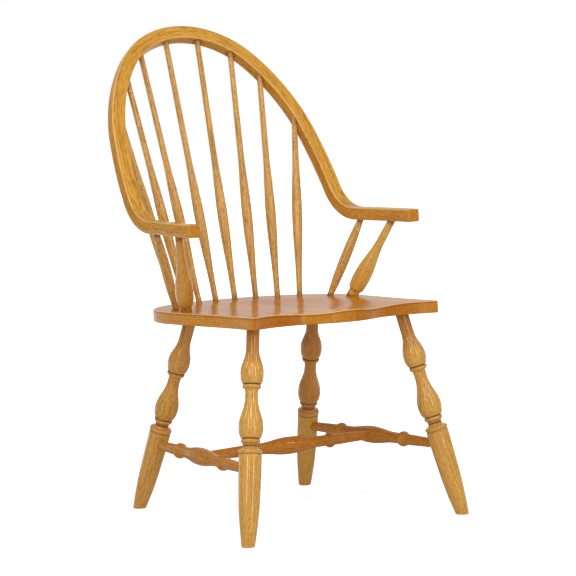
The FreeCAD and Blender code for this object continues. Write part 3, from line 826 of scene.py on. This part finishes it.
def stand_in_seat(node, foot, head, beyond, outline, slot, tilt=GRAIN_TILT):
    """A turned piece from foot to head, with a tenon down in the seat and one that runs on beyond head."""
    along = (head - foot).normalized()
    last = (head - foot).length + SEAT_TENON_DEPTH
    turned(node, outline(last, last + beyond), foot - along * SEAT_TENON_DEPTH, head, slot,
           PIECE_TONES_AND_SHADE.get(node, 0.0), (SEAT_TENON_DEPTH, last), tilt=tilt)


def spindle_points(last, length):
    foot, belly, neck = (from_tenon(place) for place in (SPINDLE_FOOT, SPINDLE_BELLY, SPINDLE_NECK))
    top = (SPINDLE_TOP_RADIUS, last - SPINDLE_TOP_STRAIGHT)
    return joined(
        line((foot[0], 0.0), foot, steps=3),
        ogee(foot, belly, steps=30),
        ogee(belly, neck, steps=28),
        line(neck, top, steps=10),
        line(top, (SPINDLE_TOP_RADIUS, length), steps=3),
    )


def make_spindle(side_name, side, number):
    angle = radians((number + 0.5) * SPINDLE_PITCH)
    foot = on_seat(side * SPINDLE_ROW_RADIUS * sin(angle),
                   SPINDLE_ROW_BACK - SPINDLE_ROW_RADIUS * (1 - cos(angle)))
    head = arch_inside(side, SPINDLE_BOW_ANGLES[number])
    stand_in_seat(f"spindle_{side_name}_{number + 1}", foot, head, SPINDLE_BOW_DEPTH, spindle_points,
                  "oak_spindle", SPINDLE_GRAIN_TILT)


def arm_spindle_points(last, length):
    """A belly between the seat and the arm, which lies at the last height, and a tenon at each end."""
    end, belly = ARM_SPINDLE_END_RADIUS, ARM_SPINDLE_BELLY_RADIUS
    return joined(
        line((end, 0.0), (end, SEAT_TENON_DEPTH), steps=2),
        arc((end, SEAT_TENON_DEPTH), (belly, (SEAT_TENON_DEPTH + last) / 2), (end, last), steps=40),
        line((end, last), (end, length), steps=2),
    )


def post_points(_, length):
    """From the seat up: stub, sharp shoulder, belly, neck and tenon."""
    stub_radius, stub = from_tenon(POST_STUB)
    stub_top = (stub_radius, stub - POST_BEVEL_BELOW)
    step_in = (stub_radius + POST_BEVEL, stub)
    step_out = (POST_SHOULDER_RADIUS - POST_BEVEL, stub)
    shoulder = (POST_SHOULDER_RADIUS, stub + POST_BEVEL_ABOVE)
    belly, neck = from_tenon(POST_BELLY), from_tenon(POST_NECK)
    top = (POST_TOP_RADIUS, length - ARM_SOCKET_DEPTH - POST_TOP_STRAIGHT)
    return joined(
        line((stub_radius, 0.0), stub_top, steps=4),
        line(stub_top, step_in, steps=1),
        line(step_in, step_out, steps=2),
        line(step_out, shoulder, steps=1),
        swell(shoulder, belly, steps=18),
        ogee(belly, neck, steps=34),
        line(neck, top, steps=3),
        line(top, (POST_TOP_RADIUS, length), steps=3),
    )


def stand_under_arm(node, side, seat_place, arm_place, outline, slot):
    foot = on_seat(side * seat_place[0], seat_place[1])
    head = under_arm(side, *arm_place)
    beyond = ARM_SOCKET_DEPTH / (head - foot).normalized().z
    stand_in_seat(node, foot, head, beyond, outline, slot)


def make_arm_spindle(side_name, side):
    stand_under_arm(f"arm_spindle_{side_name}", side, ARM_SPINDLE_ON_SEAT, ARM_SPINDLE_ON_ARM,
                    arm_spindle_points, "oak_spindle")


def make_arm_post(side_name, side):
    stand_under_arm(f"arm_post_{side_name}", side, POST_ON_SEAT, POST_ON_ARM, post_points, "oak_turned")


# Bow
def soft_rectangle(half_width, half_depth, corner, arc_steps=6, flat_steps=4):
    """Points round a rectangle with soft corners."""
    arcs = []
    for index, (sign_x, sign_y) in enumerate(((1, 1), (-1, 1), (-1, -1), (1, -1))):
        cx, cy = (half_width - corner) * sign_x, (half_depth - corner) * sign_y
        angles = [pi / 2 * (index + k / arc_steps) for k in range(arc_steps + 1)]
        arcs.append([(cx + corner * cos(angle), cy + corner * sin(angle)) for angle in angles])
    points = []
    for run, following in zip(arcs, arcs[1:] + arcs[:1]):
        points += run + line(run[-1], following[0], flat_steps)[1:-1]
    return points


def rounding(left, radius):
    """How far a face has drawn back at a distance before the end that it rounds into."""
    return radius - sqrt(radius ** 2 - clamp(radius - left, high=radius) ** 2)


def bow_path():
    """Places from the left hand over the crown to the right hand, and the length of one half."""
    half = half_bow_path()
    total, place, outward, behind = half[-1]
    onward = outward.cross(behind)
    fine = [p for p in half if p[0] < total - HAND_CORNER - HAND_RING_GAP]
    for left in HAND_RINGS:
        fine.append((total - left, place - onward * left, outward, behind))
    flip = Matrix.Diagonal((-1, 1, 1))
    return [(-s, flip @ p, flip @ w, flip @ d) for s, p, w, d in reversed(fine[1:])] + fine, total


def bow_sockets():
    """The mouths of the sockets on the arch's inner face and under the arms."""
    mouths = []
    for _, side in SIDES:
        mouths += [arch_inside(side, angle) for angle in SPINDLE_BOW_ANGLES]
        mouths += [under_arm(side, *place) for place in (ARM_SPINDLE_ON_ARM, POST_ON_ARM)]
    return mouths


def bow_stain_and_shade(on_arm, on_side, left):
    """The arms are darker than the front of the arch, the sides darker with painted shade, and the hands'
    ends darkest.
    """
    side = (BOW_SIDE_SHADE + (ARM_SIDE_SHADE - BOW_SIDE_SHADE) * on_arm) * on_side
    return max(ARM_STAIN * on_arm, side, HAND_END_STAIN * clamp(1 - left / HAND_END_BAND))


def make_bow():
    path, total = bow_path()
    sockets = bow_sockets()
    verts, grain, shade_and_dark_lines, stain_and_shade, painted_highlight = [], [], [], [], []
    for run, middle, outward, behind in path:
        left = total - abs(run)
        half_width = BOW_WIDTH / 2 - rounding(left, HAND_CORNER)
        half_depth = BOW_THICKNESS / 2 - rounding(left, BOW_CORNER)
        on_arm = clamp((-behind.z - ARM_STAIN_START) / ARM_STAIN_RUN)
        for across, deep in soft_rectangle(half_width, half_depth, BOW_CORNER):
            spot = middle + outward * across + behind * deep
            verts.append(spot)
            grain.append(in_log(across, deep, run, BOW_LOG_PLACE, BOW_GRAIN_LEAN))
            # Painted shade, with some staining, round the sockets
            nearest = min((spot - socket).length for socket in sockets)
            shade_and_dark_lines.append(SOCKET_SHADE * clamp(SOCKET_FULL - nearest / SOCKET_REACH))
            on_side = abs(across) > half_width - BOW_FLAT_TOLERANCE
            stain_and_shade.append(bow_stain_and_shade(on_arm, on_side, left))
            # Painted highlight along the corners, fading at the hands
            into_corner = min(abs(across) - (half_width - BOW_CORNER), abs(deep) - (half_depth - BOW_CORNER))
            highlit = clamp(into_corner / BOW_HIGHLIGHT_WIDTH - BOW_HIGHLIGHT_START)
            painted_highlight.append(BOW_HIGHLIGHT * highlit * clamp(left / BOW_HIGHLIGHT_FADE))
    faces = [face[:1] + face[:0:-1] for face in tube_faces(len(path), len(verts) // len(path))]
    new_piece("bow", verts, faces, grain, shade_and_dark_lines, stain_and_shade, "oak_bow", painted_highlight=painted_highlight)


# Seat
def half_outline():
    """The seat's outline from the middle of its front round its left to the middle of its back."""
    hx, hy = SEAT_FRONT_HOLLOW
    cx, cy = SEAT_FRONT_CORNER
    wx, wy = SEAT_WAIST
    mx, my = SEAT_WIDEST
    front = (hx * SEAT_FRONT_PULL, SEAT_FRONT_MIDDLE)
    beside_front = (hx * (1 - SEAT_FRONT_PULL), hy)
    middle = bezier([(0.0, SEAT_FRONT_MIDDLE), front, beside_front, (hx, hy)], steps=40)
    beside = bezier([(hx, hy), ((hx + cx) / 2, hy), (cx, cy)], steps=30)
    flank = bezier([(cx, cy), (wx, wy), (mx, wy), (mx, my)], steps=80)
    bulge = my + (SEAT_BACK - my) * SEAT_BACK_PULL
    back = bezier([(mx, my), (mx, bulge), (mx * SEAT_BACK_PULL, SEAT_BACK), (0.0, SEAT_BACK)], steps=100)
    return softened(middle + beside[1:], flank) + back[1:]


def softened(first, second):
    """Two runs that meet at a corner, with a soft bend let in between them."""
    corner = first[-1]
    before = [p for p in first if dist(p, corner) > SEAT_CORNER_RADIUS]
    after = [p for p in second if dist(p, corner) > SEAT_CORNER_RADIUS]
    return before + bezier([before[-1], corner, after[0]], steps=14)[1:-1] + after


def seat_outline():
    left = half_outline()
    right = [(-x, y) for x, y in reversed(left[1:-1])]
    return joined(left, right, gap=SEAT_POINT_GAP)


def smooth_share(stations, place, column):
    """A station table read at any place, eased between its rows."""
    if place <= stations[0][0]:
        return stations[0][column]
    for low, high in zip(stations, stations[1:]):
        if place <= high[0]:
            t = (place - low[0]) / (high[0] - low[0])
            eased = (t * t * (3 - 2 * t) + t) / 2
            return low[column] + (high[column] - low[column]) * eased
    return stations[-1][column]


def hollow_at(x, y):
    """How deep the hollow is below the flat of the seat."""
    ahead = y - HOLLOW_MIDDLE
    place = ahead / (HOLLOW_FRONT_REACH if ahead < 0 else HOLLOW_BACK_REACH)
    if place >= 1.0:
        return 0.0
    across = x / (HOLLOW_HALF_WIDTH * smooth_share(HOLLOW_STATIONS, place, 1))
    if abs(across) >= 1.0:
        return 0.0
    depth = (HOLLOW_DEPTH + HOLLOW_LIFT) * smooth_share(HOLLOW_STATIONS, place, 2)
    ridge = 1 - smooth_share(HOLLOW_STATIONS, place, 3) * exp(-((across / HOLLOW_RIDGE_WIDTH) ** 2))
    raw = depth * (1 - across ** 2) ** HOLLOW_ROUND_POWER * ridge - HOLLOW_LIFT
    rim = hypot(HOLLOW_LIFT, HOLLOW_SOFTNESS) - HOLLOW_LIFT
    return (raw + hypot(raw, HOLLOW_SOFTNESS) - rim) / 2


def hollow_normal(x, y):
    step = HOLLOW_SLOPE_STEP
    slope_x = (hollow_at(x + step, y) - hollow_at(x - step, y)) / (2 * step)
    slope_y = (hollow_at(x, y + step) - hollow_at(x, y - step)) / (2 * step)
    return Vector((slope_x, slope_y, 1)).normalized()


def seat_rings(low_steps=6, high_steps=8):
    """Offsets inward from the outline, with heights above the underside."""
    soft = SEAT_EDGE_RADIUS
    low = [pi / 2 * k / low_steps for k in range(low_steps + 1)]
    high = [pi / 2 * k / high_steps for k in range(high_steps + 1)]
    rings = [(soft * (1 - sin(angle)), soft * (1 - cos(angle))) for angle in low]
    rings += [(0.0, SEAT_THICKNESS - drop) for drop in SEAT_RIM_RINGS]
    return rings + [(soft * (1 - cos(angle)), SEAT_THICKNESS - soft * (1 - sin(angle))) for angle in high]


def seat_solid():
    """The whole seat, flat and uncut, with its outline and the way inward at each point."""
    outline = seat_outline()
    count = len(outline)
    inward = []
    for k in range(count):
        ax, ay = outline[k - 1]
        bx, by = outline[(k + 1) % count]
        length = hypot(bx - ax, by - ay)
        inward.append((-(by - ay) / length, (bx - ax) / length))
    mesh = bmesh.new()
    loops = []
    for offset, height in seat_rings():
        loops.append([
            mesh.verts.new((x + nx * offset, y + ny * offset, height - SEAT_THICKNESS))
            for (x, y), (nx, ny) in zip(outline, inward)
        ])
    for lower, upper in zip(loops, loops[1:]):
        for k in range(count):
            j = (k + 1) % count
            mesh.faces.new((lower[k], lower[j], upper[j], upper[k]))
    mesh.faces.new(list(reversed(loops[0])))
    mesh.faces.new(loops[-1])
    return mesh, outline, inward


def seat_normal(x, y, height, flat, edge, inward):
    """The surface direction on the seat, which turns outward round the edges."""
    (px, py, _), near, _ = edge.find((x, y, 0))
    nx, ny = inward[near]
    offset = (x - px) * nx + (y - py) * ny
    out = Vector((-nx, -ny, 0))
    soft = SEAT_EDGE_RADIUS
    face, depth = (flat, SEAT_THICKNESS - height) if height > SEAT_THICKNESS / 2 else (-UP, height)
    turn = clamp(1 - depth / soft)
    if turn > 0 and offset >= soft - SEAT_TOLERANCE:
        return face
    return (out * sqrt(1 - turn ** 2) + face * turn).normalized()


def cut_by(mesh, place, normal, clear=False):
    """Cut a mesh along a plane and, to clear it, take away what lies beyond and close the cut."""
    parts = mesh.verts[:] + mesh.edges[:] + mesh.faces[:]
    cut = bmesh.ops.bisect_plane(
        mesh, geom=parts, dist=CUT_TOLERANCE, plane_co=place, plane_no=normal, clear_outer=clear
    )
    if clear:
        edges = [item for item in cut["geom_cut"] if isinstance(item, bmesh.types.BMEdge)]
        bmesh.ops.contextual_create(mesh, geom=edges)


def cut_board(whole, low, high):
    """One board of the seat, with points along its glue lines and on a grid over its top."""
    board = whole.copy()
    cut_by(board, (low, 0, 0), (-1, 0, 0), clear=True)
    cut_by(board, (high, 0, 0), (1, 0, 0), clear=True)
    for x in (low + GLUE_LINE, high - GLUE_LINE):
        cut_by(board, (x, 0, 0), (1, 0, 0))
    x = low + SEAT_GRID
    while x < high - SEAT_GRID_MARGIN:
        cut_by(board, (x, 0, 0), (1, 0, 0))
        x += SEAT_GRID
    y = SEAT_FRONT_MIDDLE + SEAT_GRID_START
    while y < SEAT_BACK:
        cut_by(board, (0, y, 0), (0, 1, 0))
        y += SEAT_GRID
    return board


def make_board(number, board, low, high, edge, inward):
    """Hollow a board, note its grain, staining, painted highlight and dark lines, and slope it like the
    seat.
    """
    place, lean = grain_frame(f"board {number}", BOARD_OFF_PITH, GRAIN_TILT)
    middle = (low + high) / 2
    verts, grain, stain_and_shade, painted_highlight, shade_and_dark_lines, normals = [], [], [], [], [], []
    for vert in board.verts:
        x, y, z = vert.co
        height = z + SEAT_THICKNESS
        below_rim = SEAT_THICKNESS - height
        flat = UP
        if below_rim < SEAT_RIM_BAND + SEAT_TOLERANCE:
            flat = hollow_normal(x, y)
            z -= hollow_at(x, y)
        facing = seat_normal(x, y, height, flat, edge, inward)
        verts.append(Vector((x, y, z)))
        normals.append(facing)
        grain.append(in_log(x - middle, z, y, place, lean))
        edge_stain = FRONT_EDGE_STAIN * abs(facing.y) + SIDE_EDGE_STAIN * abs(facing.x)
        stain_and_shade.append(BOARD_STAINS[number - 1] + edge_stain)
        # Painted highlight along the rim's edge
        on_rim = abs(facing.z) < RIM_FLAT_SHARE
        painted_highlight.append(RIM_HIGHLIGHT * on_rim * clamp(RIM_LINE_FULL - below_rim / RIM_LINE_WIDTH))
        glued = min(x - low, high - x) < GLUE_LINE / 2
        under = clamp(RIM_LINE_FULL - abs(below_rim - RIM_DARK_DROP) / RIM_LINE_WIDTH)
        shade_and_dark_lines.append(max(GLUE_DARK * glued, RIM_DARK * on_rim * under))
    index = {vert: k for k, vert in enumerate(board.verts)}
    faces = [tuple(index[v] for v in face.verts) for face in board.faces]
    tilt = Matrix.Rotation(-radians(SEAT_SLOPE), 3, "X")
    pivot = Vector((0, SEAT_FRONT_CORNER[1], 0))
    verts = [tilt @ (v - pivot) + pivot + UP * SEAT_HEIGHT for v in verts]
    normals = [tuple(tilt @ n) for n in normals]
    new_piece(f"seat_board_{number}", verts, faces, grain, shade_and_dark_lines, stain_and_shade, "oak_seat", painted_highlight=painted_highlight,
              normals=normals)


def make_seat():
    whole, outline, inward = seat_solid()
    edge = KDTree(len(outline))
    for k, (x, y) in enumerate(outline):
        edge.insert((x, y, 0), k)
    edge.balance()
    widest = SEAT_WIDEST[0]
    limits = [-widest - 1] + [share * widest for share in SEAT_JOINTS] + [widest + 1]
    for number, (low, high) in enumerate(zip(limits, limits[1:]), 1):
        board = cut_board(whole, low, high)
        make_board(number, board, low, high, edge, inward)
        board.free()
    whole.free()


# Everything together
make_bow()
make_seat()
for side_name, side in SIDES:
    for which in LEG_FEET:
        make_leg(which, side_name, side)
    make_stretcher(f"side_stretcher_{side_name}", *side_stretcher_ends(side))
    make_arm_post(side_name, side)
    make_arm_spindle(side_name, side)
    for number in range(len(SPINDLE_BOW_ANGLES)):
        make_spindle(side_name, side, number)
make_stretcher("centre_stretcher", *centre_stretcher_ends())


# Floor, light and camera, with lengths in metres and angles in degrees
BACKDROP_DIRECTION = (0.54, 0.84, 0.02)
WHITE = (1.0, 1.0, 1.0, 1.0)
ROOM_COLOUR = (0.98, 0.98, 1.0, 1.0)
ROOM_LEVEL = 0.48
ROOM_BEHIND_BAND = (0.60, 0.95)
FLOOR_COLOUR = (0.78, 0.78, 0.79, 1.0)
FLOOR_REACH = 12.0
FLOOR_BEHIND_BAND = (0.3, 1.8)
FLOOR_GLOW_BAND = (0.3, 1.2)
FLOOR_GLOWS = (0.62, 1.0)
CAMERA_AZIMUTH = -32.705
CAMERA_ELEVATION = 5.238
CAMERA_ROLL = -1.7375
CAMERA_TARGET = Vector((0.0174, -0.065, 0.4776))
CAMERA_DISTANCE = 5.137
CAMERA_LENS = 151.9
CAMERA_SENSOR = 36.0
CAMERA_FARTHEST = 60.0
LAMP_TARGET_HEIGHT = 0.4

# Lamps: name, azimuth, elevation, distance, width, height, and the light that the face gives off
LAMPS = (
    ("top panel", -90, 72, 2.7, 2.2, 2.2, 0.52),
    ("left panel", -100, 40, 3.2, 0.32, 0.9, 8.0),
    ("left box", -57, 25, 3.2, 0.30, 1.9, 7.5),
    ("high box", -31, 48, 3.2, 0.5, 0.7, 8.6),
    ("middle box", -31, 32, 3.2, 1.0, 0.7, 1.9),
    ("low box", -33, 14, 3.6, 1.0, 0.6, 1.4),
    ("right box", 1, 17, 3.2, 0.30, 2.2, 8.2),
    ("right panel", 36, 31, 3.2, 0.26, 1.5, 6.8),
)


def backed(tree, room, backdrop, toward, band):
    """Show the backdrop to rays from the eye, through clear pieces or off a gloss to behind the chair."""
    behind = remap(tree, dot(tree, toward, BACKDROP_DIRECTION), band)
    path = add(tree, "LightPath")
    glossy = product(tree, path.outputs["Is Glossy Ray"], behind)
    shown = maths(tree, "MAXIMUM", path.outputs["Is Camera Ray"], glossy)
    shown = maths(tree, "MAXIMUM", shown, path.outputs["Is Transmission Ray"])
    return add(tree, "MixShader", Fac=shown, i1=room.outputs[0], i2=backdrop.outputs[0]).outputs[0]


def white_floor():
    """A pale floor that glows white for the background's rays and keeps the chair's shadow."""
    mesh = bpy.data.meshes.new("floor")
    far = FLOOR_REACH
    mesh.from_pydata([(-far, -far, 0), (far, -far, 0), (far, far, 0), (-far, far, 0)], [], [(0, 1, 2, 3)])
    floor = in_scene("floor", mesh)
    material = bpy.data.materials.new("white floor")
    tree = cleared_tree(material)
    place = add(tree, "NewGeometry").outputs["Position"]
    afar = vector_maths(tree, "LENGTH", i0=place).outputs["Value"]
    paper = add(tree, "BsdfDiffuse", Color=FLOOR_COLOUR)
    strength = remap(tree, afar, FLOOR_GLOW_BAND, FLOOR_GLOWS)
    glow = add(tree, "Emission", Color=WHITE, Strength=strength)
    lit = add(tree, "AddShader", i0=paper.outputs[0], i1=glow.outputs[0])
    add(tree, "OutputMaterial", Surface=backed(tree, paper, lit, place, FLOOR_BEHIND_BAND))
    mesh.materials.append(material)


def white_world():
    """White to the eye and in the gloss that shows what is behind the chair, elsewhere a dimmer room."""
    world = bpy.data.worlds.new("studio")
    bpy.context.scene.world = world
    tree = cleared_tree(world)
    toward = add(tree, "TexCoord").outputs["Generated"]
    seen = add(tree, "Background", Color=WHITE, Strength=1.0)
    room = add(tree, "Background", Color=ROOM_COLOUR, Strength=ROOM_LEVEL)
    add(tree, "OutputWorld", Surface=backed(tree, room, seen, toward, ROOM_BEHIND_BAND))


def from_chair(azimuth, elevation):
    """The direction from the chair, by the angles to the left of straight ahead and above the floor."""
    around, up = radians(azimuth), radians(elevation)
    return Vector((sin(around) * cos(up), -cos(around) * cos(up), sin(up)))


def soft_light(name, azimuth, elevation, distance, width, height, level):
    """A flat lamp facing the chair. Its level is the light that its face gives off."""
    lamp = bpy.data.lights.new(name, "AREA")
    lamp.shape = "RECTANGLE"
    lamp.size, lamp.size_y = width, height
    lamp.energy = level * pi * width * height
    holder = in_scene(name, lamp)
    toward = from_chair(azimuth, elevation)
    holder.location = toward * distance + UP * LAMP_TARGET_HEIGHT
    holder.rotation_euler = (-toward).to_track_quat("-Z", "Y").to_euler()
    holder.visible_camera = False


def photo_camera():
    toward_eye = from_chair(CAMERA_AZIMUTH, CAMERA_ELEVATION)
    roll = radians(CAMERA_ROLL)
    right = (-toward_eye).cross(UP).normalized()
    above = right.cross(-toward_eye)
    rolled_right = right * cos(roll) + above * sin(roll)
    rolled_above = above * cos(roll) - right * sin(roll)
    lens = bpy.data.cameras.new("camera")
    lens.sensor_width = CAMERA_SENSOR
    lens.lens = CAMERA_LENS
    lens.clip_end = CAMERA_FARTHEST
    holder = in_scene("camera", lens)
    turn = Matrix((rolled_right, rolled_above, toward_eye)).transposed().to_4x4()
    holder.matrix_world = Matrix.Translation(CAMERA_TARGET + toward_eye * CAMERA_DISTANCE) @ turn
    bpy.context.scene.camera = holder


white_floor()
white_world()
for lamp in LAMPS:
    soft_light(*lamp)
photo_camera()
bpy.context.scene.view_settings.view_transform = "Standard"
